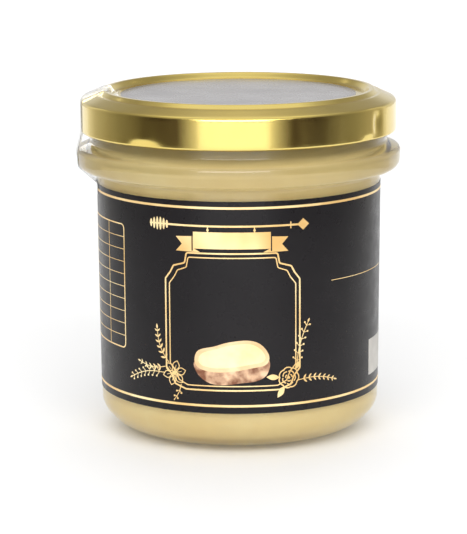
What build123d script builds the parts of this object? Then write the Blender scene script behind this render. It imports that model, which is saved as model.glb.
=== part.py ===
from build123d import *
from math import acos, cos, degrees, radians, sin
import os

# A wide-mouth glass jar of creamed honey with a twist-off lid, a wrap label, a round lid
# sticker and a clear tamper-seal strip. Millimetres, +Z up. The origin is the centre of the
# bearing ring that the jar stands on, and the front of the label faces -Y.

# Jar body
body_radius = 38.3  # outer radius where the wall meets the bead
body_taper = 0.5  # how much smaller the wall is where the heel begins
body_height = 71.0  # from the bearing ring to the underside of the bead
heel_radius = 8.3
base_round = 20.0  # larger arc between the heel and the bearing ring
bearing_inset = 13.9  # from the wall in to the flat ring the jar stands on
bearing_width = 2.0
push_up = 2.0  # how far the middle of the base is raised
wall = 2.3
base_thickness = 5.0  # from the bearing ring up to the inside floor
inner_heel = 9.0
inner_round = 2.4  # rounding of the inside behind the bead

# Bead round the shoulder
bead_reach = 5.5  # how far it stands out from the body wall
bead_rise = 1.2  # slope of its underside
bead_height = 5.1  # height of its outer face
bead_lean = 0.3  # the outer face leans in towards the bottom
bead_slope = 1.8  # rise of its top, from the outer face to the neck
bead_lower_round = 2.4
bead_upper_round = 1.6
bead_root = 0.8  # concave rounding where it meets the body and the neck
bead_hollow = 1.2  # how far the inside bulges behind the bead

# Neck and rim
neck_step = 1.5  # how much wider the neck is than the body
neck_height = 12.55  # from the top of the bead to the rim
neck_wall = 3.3
rim_outer_round = 1.6
rim_inner_round = 0.9

# Thread ridges on the neck, one for each lug of the lid
lug_count = 4
ridge_reach = 1.2
ridge_height = 1.4
ridge_arc = 44.0  # degrees
ridge_above_lug = 0.25

# Honey
headspace = 5.2  # from the level of the honey up to the rim

# Lid of thin tinplate
sheet = 0.25
skirt_clearance = 1.25  # between a thread ridge and the inside of the skirt
seal_gap = 0.05  # between the rim and the underside of the lid
panel_drop = 0.5  # panel below the channel over the rim
crest_rise = 1.0  # raised ring above that channel
crest_inset = 3.9  # from the neck in to the middle of the raised ring
crest_width = 1.2
crest_flank = 1.0
crest_round = 0.5
channel_width = 1.0
shoulder_fall = 1.85  # how far the sloping shoulder drops to the skirt
shoulder_round = 1.25
skirt_drop = 10.2  # from the channel over the rim to the bottom of the curl
curl_size = 1.5
curl_round = 0.65
curl_end_gap = 0.3  # between the end of the roll and the inside of the skirt
lug_arc = 17.0  # degrees
lug_reach = 1.1  # how far a lug reaches in from the curl
lug_height = 0.9
lug_press = 0.55  # depth of the pressed facet on the outside of the curl
lug_turn = -32.0  # degrees from the front of the label to the first lug

# Wrap label
label_thickness = 0.12
label_bottom = 12.1
label_below_bead = 2.8  # from its top edge up to the underside of the bead
label_gap = 4.0  # between its two ends, at the back

# Round sticker on the lid
sticker_margin = 2.6  # bare panel left round it
sticker_thickness = 0.1

# Clear tamper-seal strip over the lid's edge
strip_thickness = 0.1
strip_width = 16.0
strip_turn = -87.0  # degrees from the front of the label
strip_lie = 0.03  # glue line between the strip and what it lies on
strip_start_gap = 0.6  # between its end and the lid sticker
strip_on_label = 3.0  # how far it runs down over the label
strip_bend = 1.0  # how tightly it bends where it spans a hollow
strip_under_bead = 0.4  # height above the bead's underside where it leaves the bead

# Worked out from the sizes above
foot_radius = body_radius - body_taper
bearing_radius = foot_radius - bearing_inset
heel_centre = foot_radius - heel_radius
heel_angle = acos((heel_centre - bearing_radius) / (base_round - heel_radius))
heel_top = base_round - (base_round - heel_radius) * sin(heel_angle)
bead_radius = body_radius + bead_reach
bead_bottom = body_height + bead_rise
bead_top = bead_bottom + bead_height
neck_radius = body_radius + neck_step
neck_bottom = bead_top + bead_slope
rim_z = neck_bottom + neck_height
mouth_radius = neck_radius - neck_wall
honey_level = rim_z - headspace
lid_radius = neck_radius + ridge_reach + skirt_clearance + sheet
crest_radius = neck_radius - crest_inset
panel_radius = crest_radius - crest_width / 2 - crest_flank
sticker_radius = panel_radius - sticker_margin
channel_z = rim_z + seal_gap + sheet
panel_z = channel_z - panel_drop
crest_z = channel_z + crest_rise
lid_bottom = channel_z - skirt_drop
curl_inner = lid_radius - curl_size
lug_top = lid_bottom + curl_size
ridge_bottom = lug_top + ridge_above_lug
label_top = body_height - label_below_bead

EASE = 0.01  # overlap that lets touching solids of one piece join


def wall_radius(z):
    """Outer radius of the tapering body wall at height z."""
    return foot_radius + body_taper * (z - heel_top) / (body_height - heel_top)


def inner_radius(z):
    """Radius of the inside of the body wall at height z."""
    return wall_radius(z) - wall


def heel_point(centre_r, centre_z, radius, angle):
    """Point on a heel arc, with the angle measured down from level."""
    return (centre_r + radius * cos(angle), centre_z - radius * sin(angle))


def radial_plane(turn):
    """Upright plane through the axis. Its X points out, turn degrees from the front (-Y)."""
    a = radians(turn - 90)
    return Plane(origin=(0, 0, 0), x_dir=(cos(a), sin(a), 0), z_dir=(sin(a), -cos(a), 0))


def draw_inside(top_z):
    """The inside of the jar, as a line from the middle of its floor up to top_z."""
    middle_of_bead = (bead_bottom + bead_top) / 2
    behind_bead = mouth_radius + bead_hollow
    FilletPolyline(
        (0, base_thickness),
        (inner_radius(heel_top), base_thickness),
        (inner_radius(body_height), body_height - bead_root),
        (behind_bead, middle_of_bead),
        (mouth_radius, neck_bottom + bead_root),
        (mouth_radius, top_z),
        radius=[inner_heel, inner_round, inner_round, inner_round],
    )


def wall_point(z, reach):
    """Point of a section at height z, reach out from the body wall."""
    return (wall_radius(z) + reach, z)


# Glass jar
with BuildPart() as glass_jar:
    with BuildSketch(radial_plane(0)):
        with BuildLine():
            base_join = heel_point(bearing_radius, base_round, base_round, heel_angle)
            base_mid = heel_point(
                bearing_radius, base_round, base_round, (heel_angle + radians(90)) / 2
            )
            heel_mid = heel_point(heel_centre, heel_top, heel_radius, heel_angle / 2)
            push_up_foot = bearing_radius - bearing_width
            # a shallow arc has fallen a quarter of its depth at half its reach
            ThreePointArc(
                (0, push_up), (push_up_foot / 2, push_up * 3 / 4), (push_up_foot, 0)
            )
            Line((push_up_foot, 0), (bearing_radius, 0))
            ThreePointArc((bearing_radius, 0), base_mid, base_join)
            ThreePointArc(base_join, heel_mid, (foot_radius, heel_top))
            FilletPolyline(
                (foot_radius, heel_top),
                (body_radius, body_height),
                (bead_radius - bead_lean, bead_bottom),
                (bead_radius, bead_top),
                (neck_radius, neck_bottom),
                (neck_radius, rim_z),
                (mouth_radius, rim_z),
                (mouth_radius, rim_z - 2 * rim_inner_round),
                radius=[
                    bead_root,
                    bead_lower_round,
                    bead_upper_round,
                    bead_root,
                    rim_outer_round,
                    rim_inner_round,
                ],
            )
            draw_inside(rim_z - 2 * rim_inner_round)
            Line((0, base_thickness), (0, push_up))
        make_face()
    revolve(axis=Axis.Z)
    for i in range(lug_count):
        with BuildSketch(radial_plane(lug_turn + i * 360 / lug_count - ridge_arc / 2)):
            with BuildLine():
                Polyline(
                    (neck_radius - EASE, ridge_bottom),
                    (neck_radius + ridge_reach, ridge_bottom + ridge_reach / 4),
                    (neck_radius + ridge_reach, ridge_bottom + ridge_height / 2),
                    (neck_radius - EASE, ridge_bottom + ridge_height),
                    close=True,
                )
            make_face()
        revolve(axis=Axis.Z, revolution_arc=ridge_arc)

# Honey, up to its level
with BuildPart() as honey:
    with BuildSketch(radial_plane(0)):
        with BuildLine():
            draw_inside(honey_level)
            Polyline((mouth_radius, honey_level), (0, honey_level), (0, base_thickness))
        make_face()
    revolve(axis=Axis.Z)

# Lid: panel, raised ring, channel over the rim, sloping shoulder, skirt and rolled curl
with BuildPart() as lid:
    with BuildSketch(radial_plane(0)):
        with BuildLine():
            channel_start = crest_radius + crest_width / 2 + crest_flank
            FilletPolyline(
                (0, panel_z),
                (panel_radius, panel_z),
                (crest_radius - crest_width / 2, crest_z),
                (crest_radius + crest_width / 2, crest_z),
                (channel_start, channel_z),
                (channel_start + channel_width, channel_z),
                (lid_radius, channel_z - shoulder_fall),
                (lid_radius, lid_bottom),
                (curl_inner, lid_bottom),
                (curl_inner, lid_bottom + curl_size),
                (lid_radius - sheet - curl_end_gap, lid_bottom + curl_size),
                radius=[
                    crest_round,
                    crest_round,
                    crest_round,
                    crest_round / 2,
                    crest_round / 2,
                    shoulder_round,
                    curl_round,
                    curl_round,
                    curl_round,
                ],
            )
            offset(amount=sheet, side=Side.RIGHT)
        make_face()
    revolve(axis=Axis.Z)
    for i in range(lug_count):
        with BuildSketch(radial_plane(lug_turn + i * 360 / lug_count - lug_arc / 2)):
            with BuildLine():
                Polyline(
                    (curl_inner - lug_reach + sheet, lug_top - lug_height),
                    (curl_inner + sheet / 2, lug_top - lug_height),
                    (curl_inner + sheet / 2, lug_top - curl_round),
                    (curl_inner - lug_reach + sheet, lug_top - lug_height + sheet),
                    close=True,
                )
            make_face()
        revolve(axis=Axis.Z, revolution_arc=lug_arc)

# Wrap label
with BuildPart() as label:
    gap_angle = degrees(label_gap / body_radius)
    with BuildSketch(radial_plane(180 + gap_angle / 2)):
        with BuildLine():
            Polyline(
                wall_point(label_bottom, 0),
                wall_point(label_bottom, label_thickness),
                wall_point(label_top, label_thickness),
                wall_point(label_top, 0),
                close=True,
            )
        make_face()
    revolve(axis=Axis.Z, revolution_arc=360 - gap_angle)

# Round sticker on the lid's panel
with BuildPart() as lid_sticker:
    with BuildSketch(Plane.XY.offset(panel_z)):
        Circle(sticker_radius)
    extrude(amount=sticker_thickness)

# Clear seal strip: from the panel over the ring, skirt and bead to the top of the label
with BuildPart() as seal_strip:
    strip_angle = degrees(strip_width / lid_radius)
    strip_end = label_top - strip_on_label
    on_label = label_thickness + strip_lie
    with BuildSketch(radial_plane(strip_turn - strip_angle / 2)):
        with BuildLine():
            FilletPolyline(
                (sticker_radius + strip_start_gap, panel_z + strip_lie),
                (panel_radius, panel_z + strip_lie),
                (crest_radius - crest_width / 2, crest_z + strip_lie),
                (crest_radius + crest_width / 2, crest_z + strip_lie),
                (lid_radius + strip_lie, channel_z - shoulder_fall + strip_lie),
                (lid_radius + strip_lie, lid_bottom + curl_round),
                (bead_radius + strip_lie, bead_top - bead_upper_round / 2),
                (bead_radius - bead_lean + strip_lie, bead_bottom + strip_under_bead),
                wall_point(label_top, on_label),
                wall_point(strip_end, on_label),
                radius=[
                    crest_round,
                    crest_round,
                    crest_round,
                    strip_bend,
                    strip_bend,
                    strip_bend,
                    strip_bend,
                    strip_bend,
                ],
            )
            offset(amount=strip_thickness, side=Side.LEFT)
        make_face()
    revolve(axis=Axis.Z, revolution_arc=strip_angle)

os.makedirs("parts", exist_ok=True)
PIECES = {
    "glass_jar": glass_jar,
    "honey": honey,
    "lid": lid,
    "label": label,
    "lid_sticker": lid_sticker,
    "seal_strip": seal_strip,
}
for name, piece in PIECES.items():
    piece.part.label = name
    export_step(piece.part, f"parts/{name}.step")
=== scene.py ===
import bmesh
import bpy
import math
from mathutils import Matrix, Vector


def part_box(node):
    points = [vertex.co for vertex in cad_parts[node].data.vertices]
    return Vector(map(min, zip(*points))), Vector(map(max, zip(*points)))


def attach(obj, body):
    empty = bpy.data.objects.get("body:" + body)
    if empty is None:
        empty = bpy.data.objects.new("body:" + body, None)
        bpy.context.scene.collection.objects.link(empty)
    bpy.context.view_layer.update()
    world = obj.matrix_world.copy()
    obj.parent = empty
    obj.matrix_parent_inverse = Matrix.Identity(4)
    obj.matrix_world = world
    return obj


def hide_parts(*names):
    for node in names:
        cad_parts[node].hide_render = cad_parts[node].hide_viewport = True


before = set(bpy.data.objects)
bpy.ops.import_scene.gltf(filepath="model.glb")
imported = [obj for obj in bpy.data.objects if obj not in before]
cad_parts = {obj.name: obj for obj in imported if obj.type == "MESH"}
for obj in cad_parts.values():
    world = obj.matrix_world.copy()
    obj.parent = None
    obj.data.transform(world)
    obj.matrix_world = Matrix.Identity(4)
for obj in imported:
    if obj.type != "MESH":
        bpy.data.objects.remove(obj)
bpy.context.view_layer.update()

MM = 0.001
TURNS = 288  # steps round a full turn of a lathed piece
LID_TURNS = 360  # the same for the lid
MERGE = 1e-7  # metres within which points of a piece are joined

# Heights and radii, in millimetres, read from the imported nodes
FACET = 0.06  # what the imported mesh's facets take off the bead's radius
RIM_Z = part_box("glass_jar")[1].z / MM
BEAD_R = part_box("glass_jar")[1].x / MM + FACET
LID_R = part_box("lid")[1].x / MM
LID_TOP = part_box("lid")[1].z / MM
LID_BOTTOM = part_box("lid")[0].z / MM
LABEL_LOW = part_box("label")[0].z / MM
LABEL_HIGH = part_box("label")[1].z / MM
HONEY_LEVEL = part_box("honey")[1].z / MM
HONEY_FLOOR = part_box("honey")[0].z / MM
STICKER_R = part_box("lid_sticker")[1].x / MM
PANEL_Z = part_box("lid_sticker")[0].z / MM

# Glass
WALL_FOOT_R, WALL_FOOT_Z = 37.8, 9.7
WALL_TOP_R, WALL_TOP_Z = 38.3, 71.0
WALL = 2.3
BEAD_WIDEST_Z = 77.3
NECK_R, NECK_Z = 39.8, 79.1
MOUTH_R = 36.5
BEHIND_BEAD_R, BEHIND_BEAD_Z = 37.7, 74.75
FLOOR_FILLET, INSIDE_FILLET = 9.0, 2.4
BEARING_R, BEARING_WIDTH = 23.9, 1.8
PUSH_UP = 2.0
HEEL_TOP = 8.0  # height of the heel's straight run above the wall's foot
RIDGE_Z, RIDGE_HALF_HEIGHT, RIDGE_OUT = 84.4, 0.9, 1.2
RIDGE_HALF_TURN, RIDGE_FADE = 22.0, 4.0  # degrees

# Honey
HONEY_BITE = 0.12  # how far the honey reaches into the glass
SURFACE_WAVE = 0.15  # unevenness of its top
SURFACE_RADII = (33.0, 28.0, 22.0, 15.0, 8.0, 0.0)
PAINTED_SHADE_FROM, PAINTED_SHADE_FULL = 66.0, 80.0  # heights between which painted shade darkens the honey, standing in for the shade under the lid

# Lid
SHEET = 0.25
CREST_R = 35.9
SKIRT_TOP_Z = 90.1
CHANNEL_DEPTH = 1.0
CURL = 1.5
LUG_TURN, LUG_COUNT, LUG_WIDTH = -32.0, 4, 9.0
LUG_PRESS, LUG_RISE, LUG_HEIGHT = 0.3, 0.5, 1.6
DENT_TURN, DENT_WIDTH, DENT_DEPTH = 62.0, 4.2, 0.6

# Label and its print
LABEL_THICK = 0.12
LABEL_GAP = 3.0  # degrees at the back on each side of the seam
PRINT_LIFT = 0.03
PRINT_LAYER = 0.015  # between one ink and the next on top of it
PRINT_SUNK = 0.02  # how far the underside of the print lies in the label
PRINT_STEP = 1.2  # widest flat run of a filled print round the label
LINE_STEP = 1.3

# Print places on the label: u is millimetres round from the front, right of it positive
LOW_RULE_Z, TOP_RULE_Z = 14.15, 66.5
RULE_END, RULE_WIDTH = 118.4, 0.62
DIPPER_Z, DIPPER_LEFT, DIPPER_RIGHT = 61.75, -22.8, 20.8
RIB_COUNT, RIB_PITCH = 6, 0.98
HANGERS = (-6.2, 5.95)
RIBBON_LOW, RIBBON_HIGH = 55.8, 60.2
RIBBON_HALF, TAIL_INNER, TAIL_OUTER, TAIL_NOTCH, TAIL_LOW = 10.1, 8.2, 14.9, 13.2, 54.9
PLAQUE_SIDE, PLAQUE_SHOULDER, PLAQUE_LOW, PLAQUE_HIGH = 18.1, 12.0, 18.3, 54.6
PLAQUE_DROP, PLAQUE_STEP = 7.2, 3.1
PLAQUE_INNER = 1.15  # from the outer line of the plaque to the inner one
TABLE_LEFT, TABLE_RIGHT, TABLE_LOW, TABLE_HIGH = -56.0, -32.9, 26.6, 59.9
TABLE_COLUMN, TABLE_ROWS = -40.9, 10
SIDE_RULE_Z, SIDE_RULE_LEFT, SIDE_RULE_RIGHT = 45.9, 28.0, 55.5
FIELD_LEFT, FIELD_RIGHT, FIELD_LOW, FIELD_HIGH = 45.4, 60.0, 17.0, 26.8
FLOWER_U, FLOWER_Z, PETAL_COUNT = -15.8, 22.3, 6
BLOOM_U, BLOOM_Z = 15.0, 21.3
BLOOM_RINGS = ((2.5, 7), (1.65, 5), (0.85, 3))  # radius and number of petals

# Seal strip, with its place and width in degrees
STRIP_TURN, STRIP_SPAN = -87.0, 21.6
STRIP_END_Z = 65.3
FILM_THICK = 0.09

# Camera: distance and height from the foot of the axis, and angles in degrees
CAMERA_OUT, CAMERA_UP = 669.6, 175.5
CAMERA_TURN = 2.93
CAMERA_PITCH, CAMERA_YAW, CAMERA_ROLL = 11.137, -0.133, -0.344
CAMERA_LENS = 168.5

# Greys of the room as the jar mirrors it, by the sine of the height above the horizon
ROOM_TONES = [
    (0.0, (0.8, 0.8, 0.8)),
    (0.22, (0.75, 0.75, 0.75)),
    (0.38, (0.42, 0.41, 0.39)),
    (0.68, (0.34, 0.33, 0.31)),
    (0.82, (0.55, 0.54, 0.52)),
    (0.9, (0.95, 0.95, 0.95)),
]

# Side cards, in metres and degrees from the front, and their tones from front to back
CARD_OUT, CARD_TALL = 0.34, 0.30
CARD_START, CARD_END = 24.0, 132.0
CARD_STEPS = 48
CARD_TONES = [
    (0.0, (0.85, 0.85, 0.85)),
    (0.13, (0.05, 0.035, 0.03)),
    (0.33, (0.045, 0.035, 0.03)),
    (0.45, (0.16, 0.15, 0.13)),
    (0.62, (0.26, 0.25, 0.22)),
    (0.85, (0.5, 0.48, 0.44)),
    (1.0, (0.9, 0.87, 0.8)),
]

# Softboxes: place, aim and size in metres, power in watts
KEY_PLACE, KEY_AIM, KEY_SIZE, KEY_POWER = (0.1, -1.35, 0.75), (0, 0, 0.04), (2.0, 1.1), 27
BACK_PLACE, BACK_AIM, BACK_SIZE, BACK_POWER = (0.0, 1.4, 0.7), (0, 0, 0.05), (1.8, 0.9), 10


# ---- Mesh helpers -------------------------------------------------------------------------

def new_piece(name, verts, faces, material, smooth=35.0):
    """A mesh piece on the body, from points in millimetres, shaded smooth up to an angle."""
    mesh = bpy.data.meshes.new(name)
    mesh.from_pydata([Vector(v) * MM for v in verts], [], faces)
    mesh.update()
    bm = bmesh.new()
    bm.from_mesh(mesh)
    bmesh.ops.remove_doubles(bm, verts=bm.verts, dist=MERGE)
    bmesh.ops.recalc_face_normals(bm, faces=bm.faces)
    bm.to_mesh(mesh)
    bm.free()
    mesh.polygons.foreach_set("use_smooth", [True] * len(mesh.polygons))
    mesh.set_sharp_from_angle(angle=math.radians(smooth))
    obj = bpy.data.objects.new(name, mesh)
    bpy.context.scene.collection.objects.link(obj)
    mesh.materials.append(material)
    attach(obj, "root")
    return obj


NEARLY_STRAIGHT = math.radians(89.5)  # half the angle of a corner that needs no arc


def rounded(points, radii, step=9.0):
    """The polyline with its inner corners rounded as arcs, one radius for each corner."""
    out = [Vector(points[0])]
    for before, corner, after, radius in zip(points, points[1:], points[2:], radii):
        a, b, c = Vector(before), Vector(corner), Vector(after)
        to_a, to_c = (a - b).normalized(), (c - b).normalized()
        half = to_a.angle(to_c) / 2
        if half > NEARLY_STRAIGHT:
            out.append(b)
            continue
        reach = radius / math.tan(half)
        centre = b + (to_a + to_c).normalized() * (radius / math.sin(half))
        start, end = b + to_a * reach - centre, b + to_c * reach - centre
        sweep = math.pi - 2 * half
        count = max(2, int(math.degrees(sweep) / step) + 1)
        side = 1 if start.x * end.y - start.y * end.x > 0 else -1
        for i in range(count + 1):
            t = side * sweep * i / count
            x = start.x * math.cos(t) - start.y * math.sin(t)
            y = start.x * math.sin(t) + start.y * math.cos(t)
            out.append(centre + Vector((x, y)))
    out.append(Vector(points[-1]))
    return out


def divided(points, longest):
    """The polyline with every run longer than the given length cut into equal steps."""
    out = [points[0]]
    for a, b in zip(points, points[1:]):
        count = max(1, math.ceil((b - a).length / longest))
        out += [a.lerp(b, i / count) for i in range(1, count + 1)]
    return out


def round_axis(turn, r, z):
    """Point at radius r and height z, turn degrees from the front of the label."""
    a = math.radians(turn)
    return (r * math.sin(a), -r * math.cos(a), z)


def lathe(profile, shape=None, steps=TURNS, closed=True):
    """Points and faces of a profile of (r, z) turned right round the axis.
    shape(turn, r, z) may move a point. closed joins the profile's end to its start."""
    verts, faces = [], []
    rows = len(profile)
    for i in range(steps):
        turn = i * 360 / steps
        for p in profile:
            r, z = shape(turn, p.x, p.y) if shape else (p.x, p.y)
            verts.append(round_axis(turn, max(r, 0), z))
    for i in range(steps):
        j = (i + 1) % steps
        for k in range(rows if closed else rows - 1):
            n = (k + 1) % rows
            faces.append((i * rows + k, j * rows + k, j * rows + n, i * rows + n))
    return verts, faces


def sector(section, start, end, step=1.2):
    """Points and faces of a closed section of (r, z) swept from one turn to another."""
    count = max(2, math.ceil((end - start) / step))
    rows = len(section)
    verts = [
        round_axis(start + (end - start) * i / count, p[0], p[1])
        for i in range(count + 1)
        for p in section
    ]
    faces = []
    for i in range(count):
        here, there = i * rows, (i + 1) * rows
        for k in range(rows):
            n = (k + 1) % rows
            faces.append((here + k, there + k, there + n, here + n))
    faces.append(tuple(range(rows)))
    faces.append(tuple(count * rows + k for k in reversed(range(rows))))
    return verts, faces


def bump(x, width):
    """A smooth hump of height 1 and the given half width."""
    return (math.cos(math.pi * x / width) + 1) / 2 if abs(x) < width else 0.0


def turn_from(turn, centre):
    """Degrees from a centre to a turn, between -180 and 180."""
    return (turn - centre + 180) % 360 - 180


def turn_from_lug(turn):
    """Degrees from a turn to the nearest lug of the lid."""
    return min(abs(turn_from(turn, LUG_TURN + i * 360 / LUG_COUNT)) for i in range(LUG_COUNT))


def polar(angle, length):
    """The flat vector of the given length at an angle in degrees."""
    return Vector((math.cos(math.radians(angle)), math.sin(math.radians(angle)))) * length


def heading(a, b):
    """The direction from a to b, in degrees."""
    return math.degrees(math.atan2(b.y - a.y, b.x - a.x))


# ---- Material helpers ---------------------------------------------------------------------

def material(name, **values):
    """A Principled material, with its node tree and shader."""
    mat = bpy.data.materials.new(name)
    mat.use_nodes = True
    shader = mat.node_tree.nodes["Principled BSDF"]
    for key, value in values.items():
        shader.inputs[key.replace("_", " ")].default_value = value
    return mat, mat.node_tree, shader


def noise(tree, scale, detail=3.0, stretch=(1, 1, 1)):
    """Noise over the piece's own position, at scale per metre, stretched along the axes."""
    where = tree.nodes.new("ShaderNodeTexCoord")
    fit = tree.nodes.new("ShaderNodeMapping")
    fit.inputs["Scale"].default_value = stretch
    tree.links.new(where.outputs["Object"], fit.inputs["Vector"])
    tex = tree.nodes.new("ShaderNodeTexNoise")
    tex.inputs["Scale"].default_value = scale
    tex.inputs["Detail"].default_value = detail
    tree.links.new(fit.outputs["Vector"], tex.inputs["Vector"])
    return tex.outputs["Fac"]


def ramp(tree, factor, stops):
    """Colours along a factor, from (position, colour) pairs."""
    node = tree.nodes.new("ShaderNodeValToRGB")
    band = node.color_ramp
    while len(band.elements) < len(stops):
        band.elements.new(0.5)
    for element, (place, colour) in zip(band.elements, stops):
        element.position = place
        element.color = (*colour, 1)
    tree.links.new(factor, node.inputs["Fac"])
    return node.outputs["Color"]


NOISE_LOW, NOISE_HIGH = 0.3, 0.7  # where nearly all of the noise's values lie


def spread(tree, factor, low, high):
    """The factor spread over a range, for roughness."""
    node = tree.nodes.new("ShaderNodeMapRange")
    node.inputs["From Min"].default_value = NOISE_LOW
    node.inputs["From Max"].default_value = NOISE_HIGH
    node.inputs["To Min"].default_value = low
    node.inputs["To Max"].default_value = high
    tree.links.new(factor, node.inputs["Value"])
    return node.outputs["Result"]


def add_bump(tree, shader, height, strength, distance):
    """Fine relief from a height, at most the distance deep in metres."""
    node = tree.nodes.new("ShaderNodeBump")
    node.inputs["Strength"].default_value = strength
    node.inputs["Distance"].default_value = distance
    tree.links.new(height, node.inputs["Height"])
    tree.links.new(node.outputs["Normal"], shader.inputs["Normal"])


# ---- Materials ----------------------------------------------------------------------------

def make_glass():
    """Clear glass, very slightly uneven."""
    mat, tree, shader = material(
        "clear_glass", Base_Color=(0.985, 0.995, 0.985, 1), Transmission_Weight=1.0, IOR=1.5
    )
    tree.links.new(spread(tree, noise(tree, 90), 0.0, 0.025), shader.inputs["Roughness"])
    add_bump(tree, shader, noise(tree, 55, 2.0, (1, 1, 0.4)), 0.05, 0.0006)
    return mat


def make_honey():
    """Opaque creamed honey, fine-grained, with painted shade darkening it from the bead up."""
    mat, tree, shader = material("creamed_honey", Specular_IOR_Level=0.35, IOR=1.45)
    tone = ramp(
        tree,
        noise(tree, 70, 4.0),
        [(0.3, (0.90, 0.68, 0.29)), (0.52, (0.94, 0.73, 0.33)), (0.75, (0.97, 0.79, 0.39))],
    )
    where = tree.nodes.new("ShaderNodeTexCoord")
    split = tree.nodes.new("ShaderNodeSeparateXYZ")
    tree.links.new(where.outputs["Object"], split.inputs["Vector"])
    # Painted shade: the honey's colour is multiplied darker with height, standing in for the shade
    # that falls on it under the lid
    rise = tree.nodes.new("ShaderNodeMapRange")
    rise.inputs["From Min"].default_value = PAINTED_SHADE_FROM * MM
    rise.inputs["From Max"].default_value = PAINTED_SHADE_FULL * MM
    tree.links.new(split.outputs["Z"], rise.inputs["Value"])
    painted_shade = ramp(tree, rise.outputs["Result"], [(0.0, (1, 1, 1)), (1.0, (0.42, 0.41, 0.33))])
    shade = tree.nodes.new("ShaderNodeMix")
    shade.data_type = "RGBA"
    shade.blend_type = "MULTIPLY"
    shade.inputs["Factor"].default_value = 1.0
    tree.links.new(tone, shade.inputs["A"])
    tree.links.new(painted_shade, shade.inputs["B"])
    tree.links.new(shade.outputs["Result"], shader.inputs["Base Color"])
    tree.links.new(spread(tree, noise(tree, 400), 0.42, 0.6), shader.inputs["Roughness"])
    add_bump(tree, shader, noise(tree, 900, 4.0), 0.12, 0.0003)
    return mat


def make_gold():
    """Gold lacquer over tinplate, faintly brushed."""
    mat, tree, shader = material(
        "gold_lacquer", Metallic=1.0, Coat_Weight=0.35, Coat_Roughness=0.04, Coat_IOR=1.5
    )
    tone = ramp(
        tree,
        noise(tree, 40, 2.0),
        [(0.3, (0.80, 0.61, 0.165)), (0.7, (0.87, 0.69, 0.22))],
    )
    tree.links.new(tone, shader.inputs["Base Color"])
    brushed = noise(tree, 260, 3.0, (1, 1, 0.12))
    tree.links.new(spread(tree, brushed, 0.13, 0.2), shader.inputs["Roughness"])
    add_bump(tree, shader, noise(tree, 150, 2.0), 0.05, 0.0004)
    return mat


def make_label_black():
    """Smooth black label film."""
    mat, tree, shader = material(
        "label_black", Specular_IOR_Level=0.2, Coat_Weight=0.05, Coat_Roughness=0.08
    )
    tone = ramp(
        tree, noise(tree, 25, 3.0), [(0.3, (0.006, 0.005, 0.006)), (0.75, (0.011, 0.0095, 0.0105))]
    )
    tree.links.new(tone, shader.inputs["Base Color"])
    tree.links.new(spread(tree, noise(tree, 300), 0.24, 0.36), shader.inputs["Roughness"])
    add_bump(tree, shader, noise(tree, 45, 2.0, (1, 1, 0.5)), 0.06, 0.0008)
    return mat


def make_gold_print():
    """Pale gold ink that turns darker and lighter over the label."""
    mat, tree, shader = material("gold_print", Metallic=0.35, Specular_IOR_Level=0.6)
    tone = ramp(
        tree,
        noise(tree, 60, 2.0),
        [(0.32, (0.66, 0.40, 0.13)), (0.5, (0.86, 0.60, 0.27)), (0.7, (0.93, 0.76, 0.42))],
    )
    tree.links.new(tone, shader.inputs["Base Color"])
    tree.links.new(spread(tree, noise(tree, 220), 0.28, 0.42), shader.inputs["Roughness"])
    add_bump(tree, shader, noise(tree, 1500, 2.0), 0.1, 0.00005)
    return mat


def make_print(name, low, high, scale=180):
    """A matt printed ink that varies between two colours."""
    mat, tree, shader = material(name)
    tone = ramp(tree, noise(tree, scale, 4.0), [(0.35, low), (0.65, high)])
    tree.links.new(tone, shader.inputs["Base Color"])
    tree.links.new(spread(tree, noise(tree, 300), 0.4, 0.55), shader.inputs["Roughness"])
    add_bump(tree, shader, noise(tree, 1500, 2.0), 0.1, 0.00005)
    return mat


def make_sticker():
    """Grey glossy sticker."""
    mat, tree, shader = material("lid_sticker", Coat_Weight=0.3, Coat_Roughness=0.15)
    tone = ramp(
        tree, noise(tree, 60, 3.0), [(0.35, (0.20, 0.19, 0.20)), (0.7, (0.27, 0.255, 0.26))]
    )
    tree.links.new(tone, shader.inputs["Base Color"])
    tree.links.new(spread(tree, noise(tree, 120), 0.2, 0.34), shader.inputs["Roughness"])
    add_bump(tree, shader, noise(tree, 70, 2.0), 0.08, 0.0006)
    return mat


def make_film():
    """Thin clear film with soft creases."""
    mat, tree, shader = material(
        "clear_film", Base_Color=(0.97, 0.97, 0.96, 1), Transmission_Weight=1.0, IOR=1.35
    )
    tree.links.new(spread(tree, noise(tree, 200), 0.02, 0.1), shader.inputs["Roughness"])
    add_bump(tree, shader, noise(tree, 160, 2.0, (1, 1, 0.3)), 0.1, 0.0005)
    return mat


# ---- Glass jar and honey ------------------------------------------------------------------

def wall_radius(z):
    """Outside radius of the jar's slightly conical wall at a height."""
    return WALL_FOOT_R + (WALL_TOP_R - WALL_FOOT_R) * (z - WALL_FOOT_Z) / (WALL_TOP_Z - WALL_FOOT_Z)


def inside_profile(top_z, out=0.0):
    """The inside of the jar from the middle of its floor up to top_z, moved out into the wall."""
    points = [
        (0, HONEY_FLOOR - out),
        (wall_radius(WALL_FOOT_Z) - WALL + out, HONEY_FLOOR - out),
        (wall_radius(WALL_TOP_Z) - WALL + out, WALL_TOP_Z - 0.8),
        (BEHIND_BEAD_R + out, BEHIND_BEAD_Z),
        (MOUTH_R + out, NECK_Z + 0.8),
        (MOUTH_R + out, top_z),
    ]
    return rounded(points, [FLOOR_FILLET] + [INSIDE_FILLET] * 3)


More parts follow.
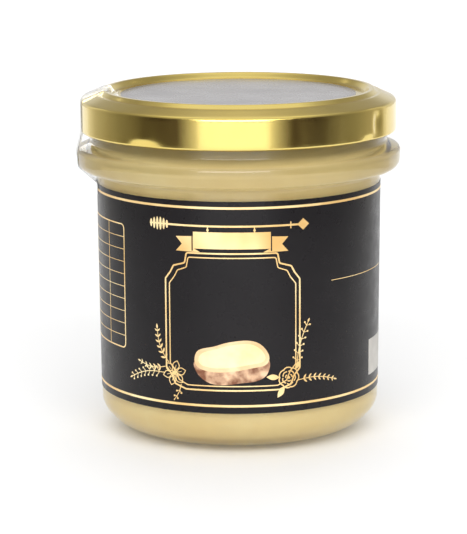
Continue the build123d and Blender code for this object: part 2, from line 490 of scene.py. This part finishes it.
def make_jar(glass):
    """The whole glass: push-up, heel, wall, bead, neck and its inside, as one turned piece."""
    foot = rounded(
        [
            (0, PUSH_UP),
            (BEARING_R - BEARING_WIDTH - 0.8, 0.25),
            (BEARING_R - BEARING_WIDTH, 0),
            (BEARING_R, 0),
            (BEARING_R + 9.6, 2.4),
            (WALL_FOOT_R, WALL_FOOT_Z - 2.6),
            (wall_radius(WALL_FOOT_Z + HEEL_TOP), WALL_FOOT_Z + HEEL_TOP),
        ],
        [4.0, 1.0, 12.0, 8.0, 6.0],
        step=5.0,
    )
    inside_top = RIM_Z - 1.8
    upper = rounded(
        [
            foot[-1],
            (WALL_TOP_R, WALL_TOP_Z),
            (BEAD_R - 0.3, WALL_TOP_Z + 1.2),
            (BEAD_R, BEAD_WIDEST_Z),
            (NECK_R, NECK_Z),
            (NECK_R, RIM_Z),
            (MOUTH_R, RIM_Z),
            (MOUTH_R, inside_top),
        ],
        [0.8, 2.4, 1.6, 0.8, 1.6, 0.9],
        step=6.0,
    )
    inside = list(reversed(inside_profile(inside_top)))
    profile = divided(foot + upper[1:] + inside[1:], 2.5)

    def ridges(turn, r, z):
        """The four thread ridges that the lid's lugs hook under."""
        if r < NECK_R - 0.05 or abs(z - RIDGE_Z) > RIDGE_HALF_HEIGHT:
            return r, z
        along = min(1.0, max(0.0, (RIDGE_HALF_TURN - turn_from_lug(turn)) / RIDGE_FADE))
        return r + RIDGE_OUT * along * bump(z - RIDGE_Z, RIDGE_HALF_HEIGHT), z

    dense = []
    for a, b in zip(profile, profile[1:]):
        on_neck = min(a.x, b.x) > NECK_R - 0.05 and NECK_Z + 0.9 < a.y < RIM_Z - 3.65
        dense += divided([a, b], 0.25)[:-1] if on_neck else [a]
    dense.append(profile[-1])
    verts, faces = lathe(dense, ridges, closed=False)
    jar = new_piece("jar_glass", verts, faces, glass, smooth=50)
    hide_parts("glass_jar")
    return jar


def make_fill(honey_mat):
    """The honey, reaching just into the glass, with a gently uneven top."""
    top = [
        Vector((r, HONEY_LEVEL - SURFACE_WAVE - SURFACE_WAVE * math.cos(r * 0.6)))
        for r in SURFACE_RADII
    ]
    profile = divided(inside_profile(HONEY_LEVEL, HONEY_BITE), 3.0) + top
    verts, faces = lathe(profile, closed=False)
    fill = new_piece("honey_fill", verts, faces, honey_mat)
    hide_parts("honey")
    return fill


# ---- Lid ----------------------------------------------------------------------------------

def make_lid(gold):
    """The sheet lid: panel, raised ring, channel, shoulder, skirt and rolled curl."""
    channel_z = LID_TOP - CHANNEL_DEPTH
    bottom = LID_BOTTOM
    outer = rounded(
        [
            (0, PANEL_Z),
            (CREST_R - 1.6, PANEL_Z),
            (CREST_R - 0.6, LID_TOP),
            (CREST_R + 0.6, LID_TOP),
            (CREST_R + 1.6, channel_z),
            (CREST_R + 2.6, channel_z),
            (LID_R, SKIRT_TOP_Z),
            (LID_R, bottom),
            (LID_R - CURL, bottom),
            (LID_R - CURL, bottom + CURL),
            (LID_R - 0.55, bottom + CURL),
        ],
        [0.5, 0.5, 0.5, 0.25, 0.3, 1.25, 0.65, 0.65, 0.65],
        step=10.0,
    )
    inner = rounded(
        [
            (LID_R - 0.55, bottom + CURL - SHEET),
            (LID_R - CURL + SHEET, bottom + CURL - SHEET),
            (LID_R - CURL + SHEET, bottom + SHEET),
            (LID_R - SHEET, bottom + SHEET),
            (LID_R - SHEET, SKIRT_TOP_Z - SHEET),
            (CREST_R + 2.6, channel_z - SHEET),
            (CREST_R + 1.5, channel_z - SHEET),
            (CREST_R + 0.5, LID_TOP - SHEET),
            (CREST_R - 0.5, LID_TOP - SHEET),
            (CREST_R - 1.5, PANEL_Z - SHEET),
            (0, PANEL_Z - SHEET),
        ],
        [0.4, 0.4, 0.4, 1.0, 0.3, 0.25, 0.25, 0.25, 0.5],
        step=15.0,
    )
    profile = divided(outer, 0.9) + divided(inner, 1.5)

    def pressed(turn, r, z):
        """Lugs pressed in at the curl and the shallow dent in the skirt."""
        if r < LID_R - 1.6 or z > SKIRT_TOP_Z:
            return r, z
        above = max(0.0, z - bottom - LUG_RISE)
        r -= LUG_PRESS * bump(turn_from_lug(turn), LUG_WIDTH) ** 0.7 * bump(above, LUG_HEIGHT)
        dent = bump(turn_from(turn, DENT_TURN), DENT_WIDTH)
        middle, half = (SKIRT_TOP_Z + bottom) / 2, (SKIRT_TOP_Z - bottom) / 2
        upright = bump(z - middle, half) ** 0.5
        return r - DENT_DEPTH * dent * upright, z

    verts, faces = lathe(profile, pressed, steps=LID_TURNS)
    lid = new_piece("twist_lid", verts, faces, gold, smooth=60)
    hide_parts("lid")
    return lid


# ---- Label and print ----------------------------------------------------------------------

def label_point(u, z, lift):
    """Point of the label u millimetres round from its front, at height z, lifted off it."""
    r = wall_radius(z) + LABEL_THICK
    return round_axis(math.degrees(u / r), r + lift, z)


def make_label(black):
    """The wrap label, open at the back where its ends stop."""
    low, high = LABEL_LOW, LABEL_HIGH
    steps = 24
    levels = [low + (high - low) * i / steps for i in range(steps + 1)]
    section = [(wall_radius(z) + LABEL_THICK, z) for z in levels]
    section += [(wall_radius(z) + 0.01, z) for z in reversed(levels)]
    verts, faces = sector(section, LABEL_GAP - 180, 180 - LABEL_GAP)
    label = new_piece("wrap_label", verts, faces, black, smooth=40)
    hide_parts("label")
    return label


class Print:
    """Flat shapes in label millimetres (u, z), gathered into one thin raised piece."""

    def __init__(self, lift=PRINT_LIFT):
        self.verts, self.faces, self.lift = [], [], lift

    def fill(self, points):
        """A filled outline, cut into strips so that it follows the round label."""
        bm = bmesh.new()
        ring = [bm.verts.new((p[0], p[1], 0)) for p in points]
        bm.faces.new(ring)
        left, right = min(p[0] for p in points), max(p[0] for p in points)
        cut = left + PRINT_STEP
        while cut < right:
            bmesh.ops.bisect_plane(
                bm,
                geom=bm.verts[:] + bm.edges[:] + bm.faces[:],
                plane_co=(cut, 0, 0),
                plane_no=(1, 0, 0),
            )
            cut += PRINT_STEP
        bmesh.ops.triangulate(bm, faces=bm.faces[:])
        bm.verts.index_update()
        start = len(self.verts)
        count = len(bm.verts)
        spots = [(v.co.x, v.co.y) for v in bm.verts]
        self.verts += [label_point(u, z, self.lift) for u, z in spots]
        self.verts += [label_point(u, z, -PRINT_SUNK) for u, z in spots]
        for f in bm.faces:
            loop = [v.index + start for v in f.verts]
            self.faces.append(loop)
            self.faces.append([i + count for i in reversed(loop)])
        for e in bm.edges:
            if len(e.link_faces) == 1:
                a, b = (v.index + start for v in e.verts)
                self.faces.append([a, b, b + count, a + count])
        bm.free()

    def line(self, points, width, closed=False):
        """A stroke of even width with mitred corners."""
        pts = [Vector(p[:2]) for p in points]
        pts = [p for i, p in enumerate(pts) if i == 0 or (p - pts[i - 1]).length > 1e-4]
        fine = divided(pts + [pts[0]] if closed else pts, LINE_STEP)
        if closed:
            fine = fine[:-1]
        count = len(fine)
        sides = []
        for i, p in enumerate(fine):
            before = fine[i - 1] if closed or i else p
            after = fine[(i + 1) % count] if closed or i < count - 1 else p
            a = (p - before).normalized() if before != p else (after - p).normalized()
            b = (after - p).normalized() if after != p else a
            normal = Vector((-(a + b).y, (a + b).x)).normalized()
            mitre = min(2.0, 1 / max(0.3, normal.dot(Vector((-a.y, a.x)))))
            sides.append((p + normal * width / 2 * mitre, p - normal * width / 2 * mitre))
        start = len(self.verts)
        for left, right in sides:
            self.verts += [label_point(q.x, q.y, self.lift) for q in (left, right)]
            self.verts += [label_point(q.x, q.y, -PRINT_SUNK) for q in (right, left)]
        runs = count if closed else count - 1
        for i in range(runs):
            a, b = start + i * 4, start + (i + 1) % count * 4
            for k in range(4):
                n = (k + 1) % 4
                self.faces.append([a + k, b + k, b + n, a + n])
        if not closed:
            self.faces.append([start + k for k in range(4)])
            self.faces.append([start + (count - 1) * 4 + k for k in (3, 2, 1, 0)])

    def dot(self, u, z, radius):
        """A round dot."""
        self.fill(ellipse(u, z, radius, radius, 12))

    def piece(self, name, mat):
        """The gathered shapes as one piece."""
        return new_piece(name, self.verts, self.faces, mat, smooth=40)


def ellipse(u, z, a, b, sides):
    """An upright ellipse round (u, z) with half axes a and b."""
    turns = [2 * math.pi * i / sides for i in range(sides)]
    return [(u + a * math.cos(t), z + b * math.sin(t)) for t in turns]


def leaf(u, z, length, width, tilt, sides=10):
    """A pointed leaf from its stalk end, at a tilt in degrees."""
    turn = math.radians(tilt)
    upper = [
        (length * i / sides, width / 2 * math.sin(math.pi * i / sides)) for i in range(sides + 1)
    ]
    lower = [(x, -y) for x, y in reversed(upper[1:-1])]
    out = []
    for x, y in upper + lower:
        across = x * math.cos(turn) - y * math.sin(turn)
        up = x * math.sin(turn) + y * math.cos(turn)
        out.append((u + across, z + up))
    return out


def bowed(a, b, bow, steps=12):
    """A curve from a to b that bows to its left by the given length."""
    a, b = Vector(a), Vector(b)
    side = Vector((-(b - a).y, (b - a).x)).normalized()
    places = [i / steps for i in range(steps + 1)]
    return [a.lerp(b, t) + side * bow * math.sin(math.pi * t) for t in places]


def sprig(art, a, b, bow, leaves, size, dots=False):
    """A bowed stem with pairs of leaves, or of stalked dots, and a leaf at its tip."""
    path = bowed(a, b, bow)
    art.line(path, 0.2)
    for i in range(1, leaves + 1):
        place = i / (leaves + 0.4) * (len(path) - 1)
        k = min(int(place), len(path) - 2)
        spot = path[k].lerp(path[k + 1], place - k)
        along = heading(path[k], path[k + 1])
        reach = size * (1.15 - 0.4 * i / leaves)
        for side in (1, -1):
            if dots:
                tip = spot + polar(along + side * 55, reach)
                art.line([spot, tip], 0.16)
                art.dot(tip.x, tip.y, 0.26)
            else:
                art.fill(leaf(spot.x, spot.y, reach, reach * 0.34, along + side * 48))
    tip = path[-1]
    art.fill(leaf(tip.x, tip.y, size, size * 0.34, heading(path[-2], tip)))


def plaque(inset):
    """Outline of the plaque with stepped corners, inset from its outer line."""
    side, low, high = PLAQUE_SIDE - inset, PLAQUE_LOW + inset, PLAQUE_HIGH - inset
    shoulder = PLAQUE_SHOULDER - inset * 0.4
    step_z = high - PLAQUE_STEP
    right = [
        (shoulder, high),
        (shoulder + 0.5, step_z + 0.4),
        (side - 2.4, step_z - 0.5),
        (side - 1.5, step_z - 2.2),
        (side, high - PLAQUE_DROP),
        (side, low + 5.4),
        (side - 1.6, low + 3.6),
        (side - 2.6, low + 1.2),
        (shoulder + 0.4, low),
    ]
    left = [(-u, z) for u, z in reversed(right)]
    corners = right + left
    return rounded([(0, high)] + corners + [(0, high)], [0.6] * len(corners), step=20)[:-1]


def make_rules(gold_print):
    """The two rules round the label and the double line of the plaque."""
    art = Print()
    for z in (TOP_RULE_Z, LOW_RULE_Z):
        art.line([(-RULE_END, z), (RULE_END, z)], RULE_WIDTH)
    art.line(plaque(0.0), 0.42, closed=True)
    art.line(plaque(PLAQUE_INNER), 0.3, closed=True)
    return art.piece("print_rules", gold_print)


def make_dipper(gold_print):
    """The honey dipper with its ribs, rod and pointed end, and the ribbon's two hangers."""
    art = Print()
    z = DIPPER_Z
    for i in range(RIB_COUNT):
        tall = 1.75 * math.sin(math.radians(38 + i * 21))
        art.fill(ellipse(DIPPER_LEFT + 0.4 + i * RIB_PITCH, z, 0.36, tall, 16))
    art.line([(-17.4, z), (17.8, z)], 0.5)
    art.line([(DIPPER_LEFT, z), (-17.0, z)], 0.4)
    middle = DIPPER_RIGHT - 1.7
    art.fill([(middle - 1.7, z), (middle, z + 1.5), (DIPPER_RIGHT, z), (middle, z - 1.5)])
    art.line([(15.6, z - 0.9), (15.6, z + 0.9)], 0.3)
    for u in HANGERS:
        art.line([(u, z - 0.2), (u, 60.0)], 0.28)
        art.dot(u, 60.75, 0.32)
    return art.piece("print_dipper", gold_print)


def make_ribbon(gold_print, black):
    """The blank ribbon: a gold band with swallow tails behind it and dark folds."""
    tails = Print()
    for side in (-1, 1):
        tails.fill(
            [
                (side * TAIL_INNER, TAIL_LOW),
                (side * TAIL_INNER, 59.1),
                (side * TAIL_OUTER, 58.8),
                (side * TAIL_NOTCH, 56.9),
                (side * TAIL_OUTER, 55.0),
            ]
        )
    tails.piece("print_ribbon_tails", gold_print)
    folds = Print(lift=PRINT_LIFT + PRINT_LAYER)
    for side in (-1, 1):
        inner = side * TAIL_INNER
        folds.fill([(side * 9.9, RIBBON_LOW), (inner, RIBBON_LOW), (inner, TAIL_LOW)])
        folds.line([(side * 10.35, 55.2), (side * 10.35, 60.4)], 0.35)
    folds.piece("print_ribbon_folds", black)
    band = Print(lift=PRINT_LIFT + 2 * PRINT_LAYER)
    left, right = -RIBBON_HALF, RIBBON_HALF + 0.1
    band.fill(
        [(left, RIBBON_LOW), (right, RIBBON_LOW), (right, RIBBON_HIGH), (left, RIBBON_HIGH)]
    )
    return band.piece("print_ribbon_band", gold_print)


def make_table(gold_print, pale):
    """The ruled table at the left, and the thin rule and the pale field at the right."""
    art = Print()
    left, right, low, high = TABLE_LEFT, TABLE_RIGHT, TABLE_LOW, TABLE_HIGH
    start = (left + 3, high)
    corners = [(right, high), (right, low), (left, low), (left, high)]
    outline = rounded([start] + corners + [start], [1.2] * 4, step=20)
    art.line(outline[:-1], 0.34, closed=True)
    art.line([(TABLE_COLUMN, low), (TABLE_COLUMN, high)], 0.2)
    for i in range(1, TABLE_ROWS):
        z = high - (high - low) * i / TABLE_ROWS
        art.line([(left, z), (right, z)], 0.16)
    rule = Print()
    rule.line([(SIDE_RULE_LEFT, SIDE_RULE_Z), (SIDE_RULE_RIGHT, SIDE_RULE_Z)], 0.16)
    rule.piece("print_side_rule", gold_print)
    field = Print()
    left, right, low, high = FIELD_LEFT, FIELD_RIGHT, FIELD_LOW, FIELD_HIGH
    field.fill([(left, low), (right, low), (right, high), (left, high)])
    field.piece("print_pale_field", pale)
    return art.piece("print_table", gold_print)


def draw_flower(art):
    """The line flower at the left, with its sprigs."""
    u, z = FLOWER_U, FLOWER_Z
    for i in range(PETAL_COUNT):
        tilt = 15 + i * 360 / PETAL_COUNT
        root = polar(tilt, 0.7)
        art.line(leaf(u + root.x, z + root.y, 2.7, 1.9, tilt, 8), 0.22, closed=True)
        middle = Vector((u, z))
        art.line([middle + polar(tilt, 1.0), middle + polar(tilt, 2.2)], 0.14)
    art.dot(u, z, 0.6)
    sprig(art, (u - 1.5, z + 2.6), (-20.9, 33.5), 0.9, 6, 1.5)
    sprig(art, (u - 3.0, z - 0.2), (-29.8, 19.6), -0.9, 7, 1.4, dots=True)
    sprig(art, (u - 2.6, z + 1.5), (-26.6, 24.0), 0.8, 5, 1.3)
    sprig(art, (u + 2.0, z - 2.8), (u + 0.3, 15.6), 0.3, 2, 0.9, dots=True)


def draw_bloom(art):
    """The round bloom at the right, as rings of bowed petals, with leaves and sprigs."""
    u, z = BLOOM_U, BLOOM_Z
    for ring, count in BLOOM_RINGS:
        for i in range(count):
            middle = 360 / count * i + ring * 40
            petal = []
            for k in range(7):
                reach = ring * (1.0 + 0.12 * math.sin(math.pi * k / 6))
                petal.append(Vector((u, z)) + polar(middle - 30 + 10 * k, reach))
            art.line(petal, 0.3)
    art.dot(u, z, 0.35)
    art.fill(leaf(u - 2.5, z + 0.2, 3.6, 1.5, 175))
    art.fill(leaf(u - 1.2, z - 2.4, 3.4, 1.5, 235))
    art.fill(leaf(u + 1.8, z + 2.0, 2.6, 1.1, 60))
    sprig(art, (u + 2.2, z + 2.4), (20.4, 35.5), 0.7, 6, 1.35, dots=True)
    sprig(art, (u + 2.6, z - 0.9), (28.7, 19.4), 0.8, 7, 1.35)


def make_flowers(gold_print):
    """All the flower drawing, as one piece."""
    art = Print()
    draw_flower(art)
    draw_bloom(art)
    return art.piece("print_flowers", gold_print)


def smooth_loop(points, steps=6):
    """A smooth closed curve through the points."""
    pts = [Vector(p) for p in points]
    out = []
    for i, b in enumerate(pts):
        a, c, d = pts[i - 1], pts[(i + 1) % len(pts)], pts[(i + 2) % len(pts)]
        for k in range(steps):
            t = k / steps
            square = (2 * a - 5 * b + 4 * c - d) * t**2
            cube = (3 * b - a - 3 * c + d) * t**3
            out.append(0.5 * (2 * b + (c - a) * t + square + cube))
    return [tuple(p) for p in out]


def make_bread(crumb, crust, cream):
    """A thick slice of bread spread with cream, as three simple fields."""
    side = Print()
    side.fill(
        smooth_loop(
            [(-9.9, 26.0), (-9.2, 22.6), (-6.2, 20.3), (-2.4, 19.8), (2.2, 20.3), (6.6, 20.9)]
            + [(9.2, 22.7), (9.5, 26.4), (4.0, 27.5), (-4.0, 27.0)]
        )
    )
    side.piece("print_slice_side", crust)
    face = Print(lift=PRINT_LIFT + PRINT_LAYER)
    face.fill(
        smooth_loop(
            [(-10.0, 26.3), (-8.9, 28.9), (-4.6, 30.1), (-1.0, 31.2), (4.0, 31.7), (7.4, 30.6)]
            + [(9.6, 27.6), (8.8, 25.1), (4.6, 24.2), (0.0, 23.4), (-5.0, 23.2), (-8.9, 24.2)]
        )
    )
    face.piece("print_slice_face", crumb)
    spread_top = Print(lift=PRINT_LIFT + 2 * PRINT_LAYER)
    spread_top.fill(
        smooth_loop(
            [(-8.9, 26.4), (-7.8, 28.2), (-4.2, 29.3), (-0.8, 30.3), (3.8, 30.8), (6.8, 29.8)]
            + [(8.6, 27.4), (7.8, 25.9), (4.2, 25.2), (-0.2, 24.5), (-4.8, 24.3), (-8.0, 25.0)]
        )
    )
    return spread_top.piece("print_slice_spread", cream)


# ---- Lid sticker and seal strip -----------------------------------------------------------

def make_lid_sticker(mat):
    """The round sticker on the panel, with a softened edge."""
    rings = [0.0, 6, 12, 18, 24, 29, STICKER_R - 0.08, STICKER_R]
    heights = [0.1] * 6 + [0.1, 0.06]
    profile = [Vector((r, PANEL_Z + h)) for r, h in zip(rings, heights)]
    profile += [Vector((STICKER_R, PANEL_Z)), Vector((0.0, PANEL_Z))]
    verts, faces = lathe(profile, closed=False)
    sticker = new_piece("round_sticker", verts, faces, mat)
    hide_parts("lid_sticker")
    return sticker


def make_strip(film):
    """Clear film from the lid's panel over the skirt and the bead onto the label's top edge."""
    path = rounded(
        [
            (STICKER_R + 0.7, PANEL_Z + 0.05),
            (CREST_R - 1.6, PANEL_Z + 0.05),
            (CREST_R - 0.6, LID_TOP + 0.04),
            (CREST_R + 0.9, LID_TOP + 0.04),
            (LID_R + 0.12, SKIRT_TOP_Z + 0.45),
            (LID_R + 0.05, LID_BOTTOM + 0.8),
            (BEAD_R + 0.05, BEAD_WIDEST_Z - 0.7),
            (BEAD_R - 0.2, WALL_TOP_Z + 1.7),
            (wall_radius(LABEL_HIGH) + 0.2, LABEL_HIGH),
            (wall_radius(STRIP_END_Z) + 0.2, STRIP_END_Z),
        ],
        [0.5, 0.5, 0.6, 1.6, 1.5, 1.6, 1.4, 1.2],
        step=12,
    )
    path = divided(path, 0.8)
    outside = []
    for before, spot, after in zip([path[0]] + path, path, path[1:] + [path[-1]]):
        along = (after - before).normalized()
        outside.append((spot.x - along.y * FILM_THICK, spot.y + along.x * FILM_THICK))
    section = [tuple(p) for p in path] + outside[::-1]
    verts, faces = sector(section, STRIP_TURN - STRIP_SPAN / 2, STRIP_TURN + STRIP_SPAN / 2)
    strip = new_piece("seal_film", verts, faces, film, smooth=40)
    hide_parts("seal_strip")
    return strip


# ---- Stage --------------------------------------------------------------------------------

def make_floor():
    """A plain pale floor, six metres wide."""
    mat, _, _ = material("pale_floor", Base_Color=(0.86, 0.86, 0.86, 1), Roughness=0.75)
    bm = bmesh.new()
    bmesh.ops.create_grid(bm, x_segments=4, y_segments=4, size=3.0)
    mesh = bpy.data.meshes.new("floor")
    bm.to_mesh(mesh)
    bm.free()
    floor = bpy.data.objects.new("floor", mesh)
    mesh.materials.append(mat)
    bpy.context.scene.collection.objects.link(floor)
    return floor


def make_card(name, start, end, tones):
    """A curved card beside the jar that only reflections see, toned along its length."""
    mat = bpy.data.materials.new(name)
    mat.use_nodes = True
    tree = mat.node_tree
    tree.nodes.remove(tree.nodes["Principled BSDF"])
    where = tree.nodes.new("ShaderNodeUVMap")
    split = tree.nodes.new("ShaderNodeSeparateXYZ")
    tree.links.new(where.outputs["UV"], split.inputs["Vector"])
    glow = tree.nodes.new("ShaderNodeEmission")
    tree.links.new(ramp(tree, split.outputs["X"], tones), glow.inputs["Color"])
    tree.links.new(glow.outputs[0], tree.nodes["Material Output"].inputs["Surface"])
    verts = []
    for i in range(CARD_STEPS + 1):
        turn = start + (end - start) * i / CARD_STEPS
        verts += [Vector(round_axis(turn, CARD_OUT, z)) for z in (0.001, CARD_TALL)]
    faces = [(2 * i, 2 * i + 2, 2 * i + 3, 2 * i + 1) for i in range(CARD_STEPS)]
    mesh = bpy.data.meshes.new(name)
    mesh.from_pydata(verts, [], faces)
    mesh.materials.append(mat)
    uv = mesh.uv_layers.new(name="UVMap")
    for loop in mesh.loops:
        uv.data[loop.index].uv = (loop.vertex_index // 2 / CARD_STEPS, loop.vertex_index % 2)
    card = bpy.data.objects.new(name, mesh)
    card.visible_camera = False
    card.visible_transmission = False
    card.visible_diffuse = False
    card.visible_shadow = False
    bpy.context.scene.collection.objects.link(card)
    return card


def add_softbox(name, place, target, size, power, seen=True):
    """A soft rectangular light, which reflections may show or not."""
    light = bpy.data.lights.new(name, "AREA")
    light.shape = "RECTANGLE"
    light.size, light.size_y = size
    light.energy = power
    obj = bpy.data.objects.new(name, light)
    obj.location = place
    obj.rotation_euler = (Vector(target) - Vector(place)).to_track_quat("-Z", "Y").to_euler()
    obj.visible_camera = False
    obj.visible_glossy = seen
    bpy.context.scene.collection.objects.link(obj)


def make_world():
    """A soft white room: plain white to the camera, toned by height in reflections."""
    world = bpy.data.worlds.new("studio")
    world.use_nodes = True
    tree = world.node_tree
    soft = tree.nodes["Background"]
    soft.inputs["Color"].default_value = (1, 1, 1, 1)
    soft.inputs["Strength"].default_value = 0.8
    seen = tree.nodes.new("ShaderNodeBackground")
    seen.inputs["Color"].default_value = (1, 1, 1, 1)
    seen.inputs["Strength"].default_value = 1.0
    where = tree.nodes.new("ShaderNodeTexCoord")
    split = tree.nodes.new("ShaderNodeSeparateXYZ")
    tree.links.new(where.outputs["Generated"], split.inputs["Vector"])
    room = tree.nodes.new("ShaderNodeBackground")
    tree.links.new(ramp(tree, split.outputs["Z"], ROOM_TONES), room.inputs["Color"])
    path = tree.nodes.new("ShaderNodeLightPath")
    mirrored = tree.nodes.new("ShaderNodeMixShader")
    tree.links.new(path.outputs["Is Glossy Ray"], mirrored.inputs["Fac"])
    tree.links.new(soft.outputs[0], mirrored.inputs[1])
    tree.links.new(room.outputs[0], mirrored.inputs[2])
    either = tree.nodes.new("ShaderNodeMath")
    either.operation = "MAXIMUM"
    tree.links.new(path.outputs["Is Camera Ray"], either.inputs[0])
    tree.links.new(path.outputs["Is Transmission Ray"], either.inputs[1])
    mix = tree.nodes.new("ShaderNodeMixShader")
    tree.links.new(either.outputs["Value"], mix.inputs["Fac"])
    tree.links.new(mirrored.outputs[0], mix.inputs[1])
    tree.links.new(seen.outputs[0], mix.inputs[2])
    tree.links.new(mix.outputs[0], tree.nodes["World Output"].inputs["Surface"])
    bpy.context.scene.world = world


def add_camera():
    """The photo's camera."""
    camera = bpy.data.cameras.new("camera")
    camera.lens = CAMERA_LENS
    camera.sensor_width = 36.0
    camera.clip_start = 0.01
    obj = bpy.data.objects.new("camera", camera)
    pitch, roll = math.radians(CAMERA_PITCH), math.radians(CAMERA_ROLL)
    yaw = math.radians(CAMERA_YAW - CAMERA_TURN)
    level = math.cos(pitch)
    ahead = Vector((math.sin(yaw) * level, math.cos(yaw) * level, -math.sin(pitch)))
    right = ahead.cross(Vector((0, 0, 1))).normalized()
    up = right.cross(ahead)
    tilted_right = right * math.cos(roll) + up * math.sin(roll)
    tilted_up = up * math.cos(roll) - right * math.sin(roll)
    turn = Matrix((tilted_right, tilted_up, -ahead)).transposed().to_4x4()
    place = Vector(round_axis(CAMERA_TURN, CAMERA_OUT, CAMERA_UP)) * MM
    obj.matrix_world = Matrix.Translation(place) @ turn
    bpy.context.scene.collection.objects.link(obj)
    bpy.context.scene.camera = obj


# ---- The scene ----------------------------------------------------------------------------

gold_print = make_gold_print()
label_black = make_label_black()

make_jar(make_glass())
make_fill(make_honey())
make_lid(make_gold())
make_label(label_black)
make_rules(gold_print)
make_dipper(gold_print)
make_ribbon(gold_print, label_black)
make_table(gold_print, make_print("pale_ink", (0.42, 0.40, 0.37), (0.5, 0.48, 0.44)))
make_flowers(gold_print)
make_bread(
    make_print("bread_crumb", (0.62, 0.40, 0.19), (0.78, 0.58, 0.34)),
    make_print("bread_crust", (0.17, 0.055, 0.02), (0.72, 0.47, 0.29), 330),
    make_print("bread_spread", (0.78, 0.62, 0.29), (0.86, 0.73, 0.42)),
)
make_lid_sticker(make_sticker())
make_strip(make_film())

make_floor()
for card_name, card_side in (("card_left", -1), ("card_right", 1)):
    make_card(card_name, card_side * CARD_START, card_side * CARD_END, CARD_TONES)
make_world()
add_softbox("key", KEY_PLACE, KEY_AIM, KEY_SIZE, KEY_POWER)
add_softbox("back", BACK_PLACE, BACK_AIM, BACK_SIZE, BACK_POWER, seen=False)
add_camera()

view = bpy.context.scene.view_settings
view.view_transform = "Standard"
